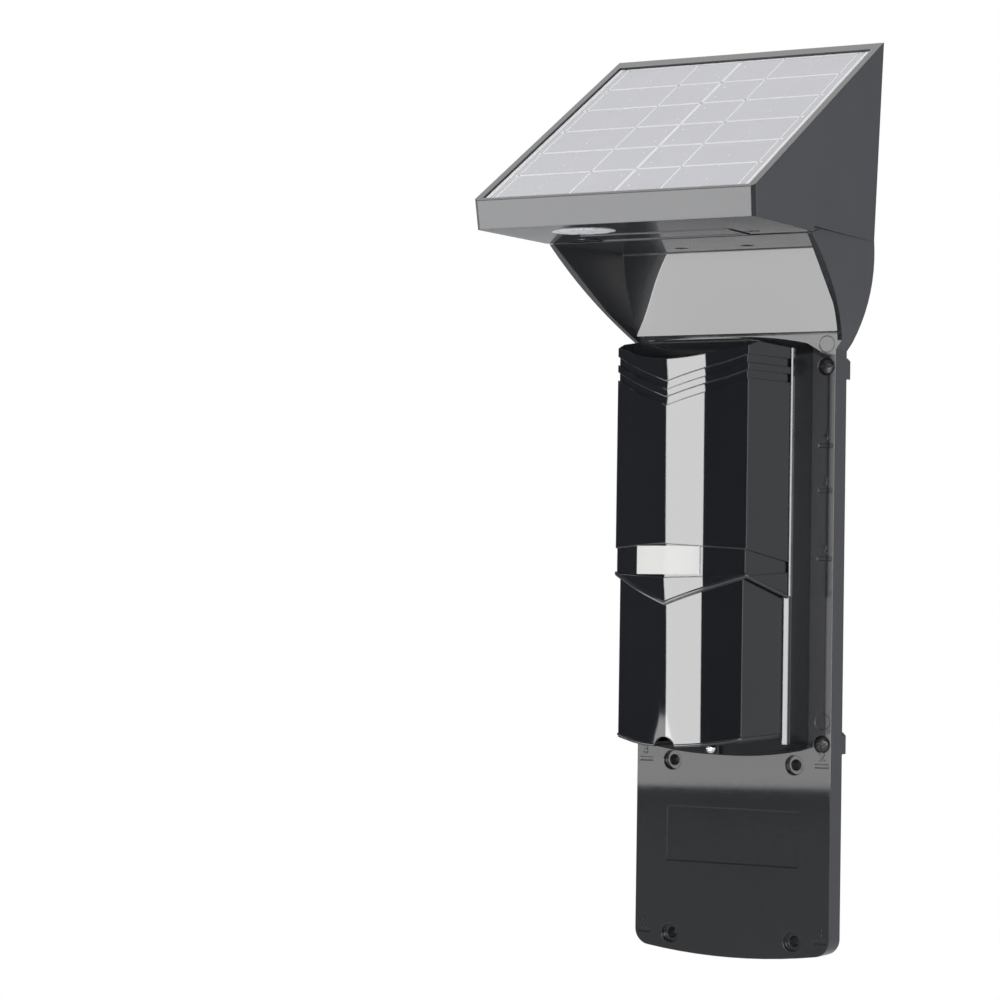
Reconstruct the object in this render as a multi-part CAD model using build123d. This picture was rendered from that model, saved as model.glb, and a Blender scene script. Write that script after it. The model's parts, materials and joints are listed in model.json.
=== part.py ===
from build123d import *
import math
import os

# Solar powered infrared beam detector on its moulded wall plate.
# Working frame: X to the right, Y into the wall, Z up.
# While building, Y = 0 is the front face of the plate and Z = 0 its lower edge.
# Every piece is then moved so that the centre of the four wall screws,
# on the wall plane, is the origin.

# wall plate
plate_width = 104.8
plate_depth = 13.2
plate_wall = 2.5
plate_corner = 8.0
plate_bottom_sag = 4.5
plate_edge = 0.8

# hood moulded on the head of the plate
hood_width = 139.0
hood_top = 349.5
hood_reach = 68.0
hood_foot = 302.0
hood_back_foot = 304.9
hood_flare_radius = 88.0
hood_wall = 2.4
hood_roof = 3.0
hood_lip_run = 10.0
hood_lip_gap = 0.3
hood_back_half = 59.3
hood_back_rise = 10.4
hood_rear_step = 7.9

# wall screws, pad marks, plugs and legend window on the plate
hole_pitch_x = 66.0
hole_pitch_z = 85.5
hole_low = 10.0
hole_diameter = 5.3
counterbore_diameter = 9.5
counterbore_depth = 2.6
boss_wall = 2.6
window_width = 71.0
window_height = 27.0
window_low = 45.8
window_depth = 0.5
mark_x = 47.6
mark_diameter = 8.0
mark_depth = 0.25
mark_offset = 10.9
gauge_length = 7.2
gauge_height = 1.7
gauge_depth = 0.35
gauge_heights_right = (10.5, 95.6, 196.0, 229.0, 250.9)
gauge_heights_left = (10.5, 95.6)
rib_thickness = 1.8
rib_clearance = 1.5
wire_hole_diameter = 12.0

# rear bars and the screws that hold them
bar_height = 10.6
bar_depth = 6.8
bar_half_length = 51.4
bar_chamfer = 1.6
bar_heights = (106.2, 289.3)
strap_slot_width = 14.0
strap_slot_height = 4.0
strap_slot_x = 22.0
plug_head_diameter = 8.2
plug_head_height = 2.2
plug_shank_diameter = 3.9
plug_fit = 0.1
plug_dome = 0.5

# solar housing
solar_width = 144.6
solar_front = 137.2
solar_front_lean = 2.2
solar_front_height = 10.6
solar_skirt = 2.7
solar_rear = 7.8
solar_rear_height = 97.1
solar_wall = 2.6
solar_draft = 2.0
solar_corner = 2.0
tray_depth = 1.6
tray_side_rim = 3.8
tray_front_rim = 2.6
tray_rear_rim = 7.9
panel_thickness = 2.6
panel_glass = 0.9
cell_rows = 6
cell_pitch = 26.0
cell_gap = 0.9
cell_height = 0.3
cell_inner_width = 23.5
cell_outer_width = 38.8
cell_first_line = 0.6
cell_fit = 0.3
hatch_half_width = 38.7
hatch_front = 93.0
hatch_gap = 2.5
hatch_rear = hood_reach + hatch_gap
hatch_thickness = 1.4
hatch_lip = 2.0
hatch_fit = 0.3
pad_x = -27.5
pad_y = -111.0
pad_half_x = 16.0
pad_half_y = 10.5
pad_thickness = 0.4
holder_screw_x = 45.7
holder_screw_y = -80.6
roof_screw_x = 17.7
roof_screw_y = -28.0
small_head_diameter = 5.6
small_head_height = 1.4
small_head_sink = 0.3
small_head_fit = 0.35
small_shank_diameter = 2.9
small_shank_length = 6.0

# batteries and charge board
cell_diameter = 18.3
cell_length = 65.0
cell_spacing = 26.0
cell_row_y = -15.0
holder_wall = 1.6
board_thickness = 1.6
charge_board_width = 60.0
charge_board_length = 26.0
charge_board_y = -113.0
charge_board_rise = 2.0

# detector base
base_half_foot = 40.4
base_half_rim = 39.8
base_depth = 23.5
base_straight = 20.0
base_foot_low = 98.8
base_foot_high = 304.8
base_rim_low = 100.2
base_rim_high = 301.6
base_arc_sag = 4.6
base_corner = 5.0
base_bevel = 2.0
base_wall = 2.6
base_ledge = 2.0
base_ledge_depth = 3.0
base_sill = 4.4
base_slope = 5.4
base_boss_half = 3.9
base_back = 3.0

# detector cover
cover_front = 78.0
cover_bow_x = 16.5
cover_bow_y = 73.2
cover_facet_x = 25.5
cover_facet_y = 66.9
cover_crease_x = 34.6
cover_crease_y = 60.8
cover_rear_x = 39.4
cover_wall = 2.4
cover_low = 106.0
cover_low_sag = 4.6
cover_high = 302.4
cover_crown = 5.6
cover_brow_y = 61.0
cover_brow_high = 295.6
cover_front_high = 288.7
cover_step = 2.2
groove_depth = 0.8
groove_height = 4.0
groove_pitch = 7.4
groove_centre = 278.2
groove_knee = 287.5
groove_crease = 291.6
belt_depth = 0.7
belt_top = (201.7, 199.6, 193.8)
belt_bottom = (185.7, 187.1, 189.0)
step_line = (172.8, 186.4, 176.5)
notch_radius = 5.4
label_half_width = 16.5
label_low = 187.2
label_high = 200.6
label_proud = 0.25
label_fit = 0.02
cover_screw_height = 103.2
cover_screw_head = 5.0
cover_screw_head_length = 2.6
cover_screw_shank = 2.9
gasket_width = 1.2
gasket_fit = 0.3

# alignment optics under the cover
axis_y = -38.0
axis_z = 205.0
yoke_half_width = 17.0
yoke_sheet = 2.0
yoke_half_height = 47.0
yoke_half_depth = 8.0
pan_pin_diameter = 6.0
pan_pin_fit = 0.08
pan_gap = 0.4
arm_thickness = 3.0
arm_half_width = 9.0
arm_nose = 7.0
optic_half_width = 14.0
optic_half_height = 41.0
optic_front = 12.0
optic_back = 10.0
lens_pitch = 54.0
lens_diameter = 26.0
lens_edge = 2.0
lens_bulge = 2.6
lens_seat = 1.5
tilt_pin_diameter = 4.0
tilt_pin_fit = 0.08
sight_width = 9.0
sight_height = 12.0
sight_depth = 4.0
main_board_half_width = 25.5
main_board_low = 128.0
main_board_high = 284.0
main_board_front = 8.6
terminal_width = 46.0
terminal_height = 11.0
terminal_depth = 9.0
terminal_low = 131.0
terminal_ways = 6
chip_size = 12.0
chip_x = 14.0
chip_z = 220.0
coil_radius = 4.5
coil_x = -15.0
coil_z = 222.0
relay_width = 16.0
relay_height = 10.0
relay_x = -16.0
relay_z = 163.0
tamper_width = 6.0
tamper_height = 9.0
tamper_depth = 7.0
post_diameter = 6.0
base_screw_x = 29.0
base_screw_low = 121.0
base_screw_high = 282.0

stand_off = plate_depth + bar_depth
cover_rear_y = base_depth
hole_centre = hole_low + hole_pitch_z / 2
ORIGIN = Location((0, -stand_off, -hole_centre))


def yz(points):
    # closed face in the YZ plane from (y, z) points
    return make_face(Polyline(*[(0, y, z) for y, z in points], close=True))


def xz(points):
    # closed face in the XZ plane from (x, z) points
    return make_face(Polyline(*[(x, 0, z) for x, z in points], close=True))


def along_x(face, half):
    return extrude(face, amount=half, dir=(1, 0, 0), both=True)


def along_y(face, y_from, y_to):
    return Pos(0, y_from, 0) * extrude(face, amount=y_to - y_from, dir=(0, 1, 0))


def block(x0, x1, y0, y1, z0, z1):
    middle = Pos((x0 + x1) / 2, (y0 + y1) / 2, (z0 + z1) / 2)
    return middle * Box(x1 - x0, y1 - y0, z1 - z0)


def rod_y(x, z, radius, y0, y1):
    return Pos(x, (y0 + y1) / 2, z) * Rot(90, 0, 0) * Cylinder(radius, y1 - y0)


def rod_z(x, y, radius, z0, z1):
    return Pos(x, y, (z0 + z1) / 2) * Cylinder(radius, z1 - z0)


def rod_x(y, z, radius, x0, x1):
    return Pos((x0 + x1) / 2, y, z) * Rot(0, 90, 0) * Cylinder(radius, x1 - x0)


def mirrored(positions):
    return [(sign * x, z) for x, z in positions for sign in (-1, 1)]


# mounting bracket

def flare_foot():
    side = (hood_width - plate_width) / 2
    return hood_top - math.sqrt(hood_flare_radius ** 2 - (hood_flare_radius - side) ** 2)


def plate_outline(inset, hood_inset, top):
    # front outline of plate and flared hood, moved inwards by a wall
    half = plate_width / 2 - inset
    wide = hood_width / 2 - hood_inset
    low = inset
    corner = plate_corner - inset
    foot = flare_foot()
    mid_z = (foot + hood_top) / 2
    rise = hood_top - mid_z
    sag = hood_flare_radius - math.sqrt(hood_flare_radius ** 2 - rise ** 2)
    side = low + plate_bottom_sag
    edges = [
        ThreePointArc((-half, 0, side), (0, 0, low), (half, 0, side)),
        Line((half, 0, side), (half, 0, foot)),
        ThreePointArc((half, 0, foot), (wide - sag, 0, mid_z), (wide, 0, hood_top)),
        Line((wide, 0, hood_top), (-wide, 0, hood_top)),
        ThreePointArc((-wide, 0, hood_top), (-wide + sag, 0, mid_z), (-half, 0, foot)),
        Line((-half, 0, foot), (-half, 0, side)),
    ]
    face = make_face(edges)
    low_corners = face.vertices().sort_by(Axis.Z)[:2]
    face = fillet(low_corners, corner)
    if top < hood_top:
        face = face - xz([(-wide - 1, top), (wide + 1, top), (wide + 1, hood_top + 1), (-wide - 1, hood_top + 1)])
    return face


def bracket_envelope():
    side_view = yz([
        (plate_depth, 0),
        (0, 0),
        (0, hood_foot),
        (-hood_reach, hood_top - hood_roof),
        (-hood_reach + hood_lip_run, hood_top),
        (plate_depth - hood_rear_step, hood_top),
        (plate_depth, hood_foot),
    ])
    front = along_y(plate_outline(0, 0, hood_top), -hood_reach - 1, plate_depth)
    return front & along_x(side_view, hood_width)


def hood_space():
    # open space under the roof: flared side walls, curved back wall
    roof = hood_top - hood_roof
    below = hood_foot - 20
    ahead = hood_reach + 10
    wide = hood_width / 2 - hood_wall
    slope = (wide - hood_back_half) / (hood_reach - hood_back_rise)
    outline = plate_outline(hood_wall, hood_wall, roof)
    walls = along_y(outline, -ahead, plate_depth)
    plan = make_face(Polyline(
        (-wide - slope * 10, -ahead, below),
        (wide + slope * 10, -ahead, below),
        (hood_back_half - slope * hood_back_rise, 0, below),
        (-hood_back_half + slope * hood_back_rise, 0, below),
        close=True,
    ))
    tapered = extrude(plan, amount=roof - below, dir=(0, 0, 1))
    side = make_face([
        Line((0, -ahead, below), (0, 0, below)),
        Line((0, 0, below), (0, 0, hood_back_foot)),
        Spline(
            (0, 0, hood_back_foot),
            (0, -hood_back_rise, roof),
            tangents=[(0, 0, 1), (0, 0, 1)],
        ),
        Line((0, -hood_back_rise, roof), (0, -ahead, roof)),
        Line((0, -ahead, roof), (0, -ahead, below)),
    ])
    return walls & tapered & along_x(side, hood_width)


def rear_pocket():
    # the moulding is a shell that is open towards the wall
    half = plate_width / 2 - plate_wall
    low = plate_wall + plate_bottom_sag
    roof = hood_top - hood_roof - plate_wall
    profile = yz([
        (plate_wall, low),
        (plate_wall, hood_foot),
        (-hood_back_rise + plate_wall + 1.5, roof),
        (plate_depth + 5, roof),
        (plate_depth + 5, low),
    ])
    return along_x(profile, half)


def plate_ribs():
    # stiffening ribs inside the rear pocket
    half = plate_width / 2 - plate_wall
    y0 = plate_wall - 0.5
    y1 = plate_depth - rib_clearance
    low = plate_wall + plate_bottom_sag - 1
    ribs = []
    for x in (-hole_pitch_x / 2, hole_pitch_x / 2):
        ribs.append(block(x - rib_thickness / 2, x + rib_thickness / 2, y0, y1, low, hood_foot))
    levels = (hole_low, hole_low + hole_pitch_z, 150.0, 196.0, 242.0)
    for z in levels:
        ribs.append(block(-half - 1, half + 1, y0, y1, z - rib_thickness / 2, z + rib_thickness / 2))
    return ribs


def wall_holes():
    x = hole_pitch_x / 2
    return mirrored([(x, hole_low), (x, hole_low + hole_pitch_z)])


def plug_places():
    return mirrored([(mark_x - 0.1, z) for z in bar_heights])


def make_mounting_bracket():
    body = bracket_envelope()
    body -= hood_space()
    body -= rear_pocket()
    body += plate_ribs()
    boss_radius = hole_diameter / 2 + boss_wall
    plug_radius = plug_head_diameter / 2 + 1.4
    for x, z in wall_holes():
        body += rod_y(x, z, boss_radius, plate_wall - 1, stand_off)
    for x, z in plug_places():
        reach = min(plug_radius, plate_width / 2 - abs(x) - 0.1)
        body += rod_y(x, z, reach, plate_wall - 1, plate_depth)
    for x, z in wall_holes():
        body -= rod_y(x, z, hole_diameter / 2, -1, stand_off + 1)
        body -= rod_y(x, z, counterbore_diameter / 2, -1, counterbore_depth)
    for x, z in plug_places():
        body -= rod_y(x, z, plug_head_diameter / 2 + plug_fit, -1, plug_head_height)
        body -= rod_y(x, z, plug_shank_diameter / 2 + plug_fit, -1, plate_depth + 1)
    for side, z in mirrored([(mark_x, bar_heights[0] + mark_offset), (mark_x, bar_heights[1] + mark_offset)]):
        body -= rod_y(side, z, mark_diameter / 2, -1, mark_depth)
    half = window_width / 2
    body -= block(-half, half, -1, window_depth, window_low, window_low + window_height)
    for z in gauge_heights_right:
        x = plate_width / 2 - 1.2 - gauge_length / 2
        body -= Pos(x, 0, z) * Box(gauge_length, gauge_depth * 2, gauge_height)
    for z in gauge_heights_left:
        x = plate_width / 2 - 1.2 - gauge_length / 2
        body -= Pos(-x, 0, z) * Box(gauge_length, gauge_depth * 2, gauge_height)
    body -= rod_y(0, wire_height(), wire_hole_diameter / 2, -1, plate_wall + 1)
    roof = hood_top - hood_roof
    for x, y in roof_screws():
        body -= rod_z(x, y, small_shank_diameter / 2 + plug_fit, roof - 1, hood_top + 1)
        body -= rod_z(x, y, small_head_diameter / 2 + small_head_fit, roof - 1, roof_seat())
    return body


def roof_seat():
    return hood_top - hood_roof + small_head_height


def wire_height():
    return base_foot_high - 22.0


def roof_screws():
    xs = (-roof_screw_x, roof_screw_x)
    return [(x, roof_screw_y) for x in xs]


# rear bars and plugs

def make_rear_bar(z):
    bar = block(-bar_half_length, bar_half_length, plate_depth, stand_off,
                z - bar_height / 2, z + bar_height / 2)
    ends = bar.edges().filter_by(Axis.Y).sort_by(Axis.Z)[-2:]
    bar = chamfer(ends, bar_chamfer)
    for x in (-strap_slot_x, strap_slot_x):
        bar -= block(x - strap_slot_width / 2, x + strap_slot_width / 2,
                     plate_depth - 1, stand_off + 1,
                     z - strap_slot_height / 2, z + strap_slot_height / 2)
    for x in (-mark_x + 0.1, mark_x - 0.1):
        bar -= rod_y(x, z, plug_shank_diameter / 2 + plug_fit, plate_depth - 1, stand_off + 1)
    return bar


def make_plug(x, z):
    head = rod_y(x, z, plug_head_diameter / 2, 0, plug_head_height)
    rim = head.edges().filter_by(GeomType.CIRCLE).sort_by(Axis.Y)[0]
    head = chamfer([rim], plug_dome)
    shank = rod_y(x, z, plug_shank_diameter / 2, plug_head_height - 0.5, stand_off - 0.8)
    return head + shank


# solar housing

def solar_bottom():
    return hood_top


def solar_front_top():
    return solar_bottom() + solar_front_height


def solar_rear_top():
    return solar_bottom() + solar_rear_height


def slope_angle():
    rise = solar_rear_top() - solar_front_top()
    return math.degrees(math.atan2(rise, solar_front + solar_rear))


def slope_length():
    rise = solar_rear_top() - solar_front_top()
    return math.hypot(rise, solar_front + solar_rear)


def on_slope(depth, along, x=0.0):
    # place on the sloped top: a depth under it and a distance from the front edge
    return (
        Pos(x, -solar_front, solar_front_top())
        * Rot(slope_angle(), 0, 0)
        * Pos(0, along, -depth)
    )


def panel_span():
    start = tray_front_rim
    end = slope_length() - tray_rear_rim
    return start, end


def housing_half_width(depth):
    # the sides lean in by a constant draft below the sloped face
    return solar_width / 2 - depth * math.tan(math.radians(solar_draft))


def drafted_prism(inset):
    reach = solar_rear_height * 1.3
    top = housing_half_width(0) - inset
    low = housing_half_width(reach) - inset
    section = xz([(-low, -reach), (low, -reach), (top, 0), (top, 5), (-top, 5), (-top, 0)])
    length = slope_length()
    return on_slope(0, 0) * along_y(section, -length, 2 * length)


def floor_half_width():
    # half width of the floor at the front, its narrowest useful width
    depth = (solar_front_height + solar_skirt) * math.cos(math.radians(slope_angle()))
    return housing_half_width(depth)


def make_solar_housing():
    skirt_low = solar_bottom() - solar_skirt
    rear_low = plate_depth - hood_rear_step
    side_view = yz([
        (-solar_front + solar_front_lean, skirt_low),
        (-solar_front, solar_front_top()),
        (solar_rear, solar_rear_top()),
        (rear_low, solar_bottom()),
        (-hood_reach + hood_lip_run, solar_bottom()),
        (-hood_reach + hood_lip_run, skirt_low),
    ])
    half = solar_width / 2
    body = along_x(side_view, half) & drafted_prism(0)
    front_edges = body.edges().filter_by(lambda e: e.center().Y < -solar_front + solar_front_lean)
    corners = [e for e in front_edges if abs(e.center().X) > half - solar_corner]
    body = chamfer(corners, solar_corner)
    # clearance for the front lip of the hood
    rear_edge = -hood_reach + hood_lip_run
    body -= block(-half - 1, half + 1, -hood_reach - hood_lip_gap, rear_edge + 1, skirt_low - 1, solar_bottom())
    # tray of the panel
    start, end = panel_span()
    deep = tray_depth + panel_thickness
    tray = Box(solar_width - 2 * tray_side_rim, end - start, deep + 20)
    body -= on_slope(deep - (deep + 20) / 2, (start + end) / 2) * tray
    # hollow inside
    drop = (deep + solar_wall) / math.cos(math.radians(slope_angle()))
    rise = math.tan(math.radians(slope_angle()))
    y0 = -solar_front + solar_front_lean + solar_wall
    y1 = rear_low - solar_wall
    z0 = solar_bottom() + solar_wall
    top0 = solar_front_top() + (y0 + solar_front) * rise - drop
    top1 = solar_front_top() + (y1 + solar_front) * rise - drop
    y_start = y0
    if top0 < z0:
        y_start = y0 + (z0 - top0) / rise + 0.5
        top0 = z0 + 0.5 * rise
    inside = yz([(y_start, z0), (y_start, top0), (y1, top1), (y1, z0)])
    body -= along_x(inside, half) & drafted_prism(solar_wall)
    # hatch seat and opening in the floor
    bottom = solar_bottom()
    face = hatch_face()
    body -= block(-hatch_half_width - hatch_fit, hatch_half_width + hatch_fit,
                  -hatch_front - hatch_fit, -hatch_rear + hatch_fit,
                  face - 1, face + hatch_thickness)
    body -= block(-hatch_half_width + hatch_lip, hatch_half_width - hatch_lip,
                  -hatch_front + hatch_lip, -hatch_rear - hatch_lip,
                  face - 1, bottom + solar_wall + 1)
    # screw bosses
    for x, y in roof_screws():
        body += rod_z(x, y, small_shank_diameter / 2 + 2.2, z0 - 0.5, bottom + small_shank_length + 1.5)
        body -= rod_z(x, y, small_shank_diameter / 2 + plug_fit, bottom - 1, bottom + small_shank_length + 0.2)
    for x in (-holder_screw_x, holder_screw_x):
        y = holder_screw_y
        body += rod_z(x, y, small_shank_diameter / 2 + 2.2, z0 - 0.5, bottom + small_shank_length + 1.5)
        body -= rod_z(x, y, small_shank_diameter / 2 + plug_fit, face - 1, bottom + small_shank_length + 0.2)
        body -= rod_z(x, y, small_head_diameter / 2 + small_head_fit, face - 1, holder_seat())
    # rails for the charge board
    for x in (-charge_board_width / 2 + 2, charge_board_width / 2 - 2):
        body += block(x - 1, x + 1, charge_board_y - charge_board_length / 2,
                      charge_board_y + charge_board_length / 2, z0 - 0.5, z0 + charge_board_rise)
    return body


def make_cell_sheet():
    # white backing sheet with the raised cells, four columns wide
    start, end = panel_span()
    width = solar_width - 2 * tray_side_rim - 2 * cell_fit
    length = end - start - 2 * cell_fit
    thick = panel_thickness - panel_glass - cell_height
    middle = (start + end) / 2
    base_depth_under = tray_depth + panel_glass + cell_height
    sheet = on_slope(base_depth_under + thick / 2, middle) * Box(width, length, thick)
    first = start + cell_first_line + cell_pitch / 2
    columns = (
        (-cell_inner_width - cell_outer_width / 2, cell_outer_width),
        (-cell_inner_width / 2, cell_inner_width),
        (cell_inner_width / 2, cell_inner_width),
        (cell_inner_width + cell_outer_width / 2, cell_outer_width),
    )
    cells = []
    for x, column_width in columns:
        for row in range(cell_rows):
            cell = Box(column_width - cell_gap, cell_pitch - cell_gap, cell_height + 0.2)
            depth = tray_depth + panel_glass + (cell_height + 0.2) / 2
            cells.append(on_slope(depth, first + row * cell_pitch, x) * cell)
    return sheet + cells


def make_panel_glass():
    start, end = panel_span()
    width = solar_width - 2 * tray_side_rim - 2 * cell_fit
    length = end - start - 2 * cell_fit
    return on_slope(tray_depth + panel_glass / 2, (start + end) / 2) * Box(width, length, panel_glass)


def hatch_face():
    return solar_bottom() - solar_skirt


def holder_seat():
    return hatch_face() + small_head_height + small_head_sink


def make_hatch():
    face = hatch_face()
    plate = block(-hatch_half_width, hatch_half_width, -hatch_front, -hatch_rear,
                  face, face + hatch_thickness)
    inset = hatch_lip + hatch_fit
    plug = block(-hatch_half_width + inset, hatch_half_width - inset,
                 -hatch_front + inset, -hatch_rear - inset,
                 face + hatch_thickness / 2, solar_bottom() + solar_wall)
    pull = hatch_lip + hatch_fit
    grip = block(-pull * 3, pull * 3, -hatch_front + pull, -hatch_front + pull * 1.8, face - 0.1, face + 0.6)
    return plate + plug - grip


def make_vent_pad():
    pad = extrude(Ellipse(pad_half_x, pad_half_y), amount=pad_thickness)
    return Pos(pad_x, pad_y, hatch_face() - pad_thickness) * pad


def make_up_screw(x, y, seat):
    # small pan head screw driven upwards against a face at height seat
    head = rod_z(x, y, small_head_diameter / 2, seat - small_head_height, seat)
    low_rim = head.edges().filter_by(GeomType.CIRCLE).sort_by(Axis.Z)[0]
    head = chamfer([low_rim], small_head_height * 0.3)
    shank = rod_z(x, y, small_shank_diameter / 2, seat - 0.2, solar_bottom() + small_shank_length)
    slot = block(x - small_head_diameter, x + small_head_diameter, y - 0.35, y + 0.35,
                 seat - small_head_height - 1, seat - small_head_height + 0.6)
    return head + shank - slot


def battery_floor():
    return solar_bottom() + solar_wall


def battery_places():
    return [cell_row_y - i * cell_spacing for i in range(3)]


def make_battery_holder():
    places = battery_places()
    z0 = battery_floor()
    y1 = places[0] + cell_diameter / 2 + holder_wall + 0.3
    y0 = places[-1] - cell_diameter / 2 - holder_wall - 0.3
    half = cell_length / 2 + holder_wall + 0.8
    height = holder_wall + cell_diameter * 0.5
    tub = block(-half, half, y0, y1, z0, z0 + height)
    for y in places:
        tub -= rod_x(y, z0 + holder_wall + cell_diameter / 2 + 0.1, cell_diameter / 2 + 0.1,
                     -cell_length / 2 - 0.4, cell_length / 2 + 0.4)
    for x, y in roof_screws():
        tub -= rod_z(x, y, small_shank_diameter / 2 + 2.7, z0 - 1, z0 + small_shank_length + 2)
    return tub


def make_battery(index):
    y = battery_places()[index]
    z = battery_floor() + holder_wall + cell_diameter / 2 + 0.1
    can = rod_x(y, z, cell_diameter / 2, -cell_length / 2, cell_length / 2 - 1.2)
    can = chamfer(can.edges().filter_by(GeomType.CIRCLE), 0.6)
    tip = rod_x(y, z, 3.0, cell_length / 2 - 1.5, cell_length / 2)
    return can + tip


def make_charge_board():
    z0 = battery_floor() + charge_board_rise
    y0 = charge_board_y - charge_board_length / 2
    y1 = charge_board_y + charge_board_length / 2
    half = charge_board_width / 2
    board = block(-half, half, y0, y1, z0, z0 + board_thickness)
    coil = block(-6, 2, y1 - 10, y1 - 3, z0 + board_thickness - 0.2, z0 + board_thickness + 3.5)
    plug = block(12, 22, y1 - 8, y1 - 1, z0 + board_thickness - 0.2, z0 + board_thickness + 4.5)
    return board + coil + plug


# detector base

def base_outline(half, low, high, corner):
    # upright outline with bowed lower and upper ends
    side_low = low + base_arc_sag
    side_high = high - base_arc_sag
    edges = [
        ThreePointArc((-half, 0, side_low), (0, 0, low), (half, 0, side_low)),
        Line((half, 0, side_low), (half, 0, side_high)),
        ThreePointArc((half, 0, side_high), (0, 0, high), (-half, 0, side_high)),
        Line((-half, 0, side_high), (-half, 0, side_low)),
    ]
    face = make_face(edges)
    return fillet(face.vertices(), corner)


def base_pocket_outline(inset):
    side = base_bevel + base_wall + inset
    return base_outline(base_half_rim - side, base_rim_low + side + base_sill,
                        base_rim_high - side, base_corner - 2.0)


def make_detector_base():
    foot = base_outline(base_half_foot, base_foot_low, base_foot_high, base_corner)
    rim = base_outline(base_half_rim, base_rim_low, base_rim_high, base_corner)
    nose = base_outline(base_half_rim - base_bevel, base_rim_low + base_slope,
                        base_rim_high - base_bevel, base_corner - 1.5)
    body = loft([foot, Pos(0, -base_straight, 0) * rim], ruled=True)
    body += loft([Pos(0, -base_straight, 0) * rim, Pos(0, -base_depth, 0) * nose], ruled=True)
    body += block(-base_boss_half, base_boss_half, -base_depth, -base_straight + 1,
                  base_rim_low + 0.2, base_rim_low + base_slope + 1)
    inner = base_pocket_outline(0)
    body -= along_y(inner, -base_depth + base_ledge_depth, -base_back)
    body -= along_y(base_pocket_outline(base_ledge), -base_depth - 1, -base_depth + base_ledge_depth + 0.1)
    body -= rod_y(0, wire_height(), wire_hole_diameter / 2, -base_back - 1, 1)
    # posts for the circuit board
    for x, z in board_posts():
        body += rod_y(x, z, post_diameter / 2, -main_board_front, -base_back + 0.5)
    # bore of the cover screw
    body -= rod_y(0, cover_screw_height, cover_screw_shank / 2 + plug_fit, -base_depth - 1, -base_depth + 9)
    # screws that hold the base on the plate
    for x, z in base_screw_places():
        body -= rod_y(x, z, cover_screw_shank / 2 + plug_fit, -base_back - 1, 1)
    return body


def board_posts():
    x = main_board_half_width - 4
    return mirrored([(x, main_board_low + 5), (x, main_board_high - 5)])


def base_screw_places():
    return [(-base_screw_x, base_screw_low), (base_screw_x, base_screw_low),
            (-base_screw_x, base_screw_high), (base_screw_x, base_screw_high)]


def make_base_screw(x, z):
    head = rod_y(x, z, small_head_diameter / 2, -base_back - small_head_height, -base_back)
    rim = head.edges().filter_by(GeomType.CIRCLE).sort_by(Axis.Y)[0]
    head = chamfer([rim], small_head_height * 0.3)
    shank = rod_y(x, z, cover_screw_shank / 2, -base_back - 0.2, -0.2)
    return head + shank


def make_grommet():
    z = wire_height()
    bore = wire_hole_diameter / 2
    ring = rod_y(0, z, bore - 0.1, -base_back, plate_wall)
    flange = rod_y(0, z, bore + 2.2, -base_back - 1.6, -base_back)
    hole = rod_y(0, z, bore - 2.0, -base_back - 3, plate_wall + 1)
    return ring + flange - hole


# detector cover

def cover_plan(inset, rear):
    # horizontal outline: fold on the centre line, bowed front, facet and flank on each side
    edges = []
    taper = (cover_rear_x - cover_crease_x) / (cover_crease_y - cover_rear_y)
    rear_x = cover_crease_x + taper * (cover_crease_y - rear)
    for side in (-1, 1):
        edges.append(ThreePointArc(
            (0, -cover_front),
            (side * cover_bow_x, -cover_bow_y),
            (side * cover_facet_x, -cover_facet_y),
        ))
        edges.append(Line((side * cover_facet_x, -cover_facet_y), (side * cover_crease_x, -cover_crease_y)))
        edges.append(Line((side * cover_crease_x, -cover_crease_y), (side * rear_x, -rear)))
    edges.append(Line((-rear_x, -rear), (rear_x, -rear)))
    face = make_face(edges)
    if inset != 0:
        face = offset(face, amount=-inset, kind=Kind.INTERSECTION)
    return face


def cover_block(inset, rear, low, high):
    face = cover_plan(inset, rear)
    return Pos(0, 0, low) * extrude(face, amount=high - low, dir=(0, 0, 1))


def cover_envelope(wall):
    # crowned top that falls to the front, bowed bottom
    half = cover_rear_x + 1
    low = cover_low + wall
    high = cover_high - wall
    front = make_face([
        ThreePointArc((-half, 0, low + cover_low_sag), (0, 0, low), (half, 0, low + cover_low_sag)),
        Line((half, 0, low + cover_low_sag), (half, 0, high - cover_crown)),
        ThreePointArc((half, 0, high - cover_crown), (0, 0, high), (-half, 0, high - cover_crown)),
        Line((-half, 0, high - cover_crown), (-half, 0, low + cover_low_sag)),
    ])
    front_y = -cover_front - 5
    front_z = cover_front_high - wall
    side = make_face([
        Line((0, 0, cover_low - 5), (0, front_y, cover_low - 5)),
        Line((0, front_y, cover_low - 5), (0, front_y, front_z)),
        Line((0, front_y, front_z), (0, -cover_front, front_z)),
        ThreePointArc(
            (0, -cover_front, front_z),
            (0, -cover_brow_y, cover_brow_high - wall),
            (0, -cover_rear_y, high),
        ),
        Line((0, -cover_rear_y, high), (0, 0, high)),
        Line((0, 0, high), (0, 0, cover_low - 5)),
    ])
    return along_y(front, -cover_front - 5, 0) & along_x(side, half + 1)


def line_profile(values, shift, half):
    # polyline across the front: centre, crease and rear heights, mirrored
    centre, crease, rear = values
    x1 = cover_crease_x
    slope = (rear - crease) / (cover_rear_x - cover_crease_x)
    edge = rear + slope * (half - cover_rear_x)
    return [
        (-half, edge + shift),
        (-x1, crease + shift),
        (0, centre + shift),
        (x1, crease + shift),
        (half, edge + shift),
    ]


def band(upper, lower):
    return along_y(xz(upper + lower[::-1]), -cover_front - 10, -cover_rear_y + 1)


def groove_line(shift, half):
    return [
        (-half, groove_crease + shift),
        (-cover_crease_x, groove_crease + shift),
        (-cover_facet_x, groove_knee + shift),
        (0, groove_centre + shift),
        (cover_facet_x, groove_knee + shift),
        (cover_crease_x, groove_crease + shift),
        (half, groove_crease + shift),
    ]


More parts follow.
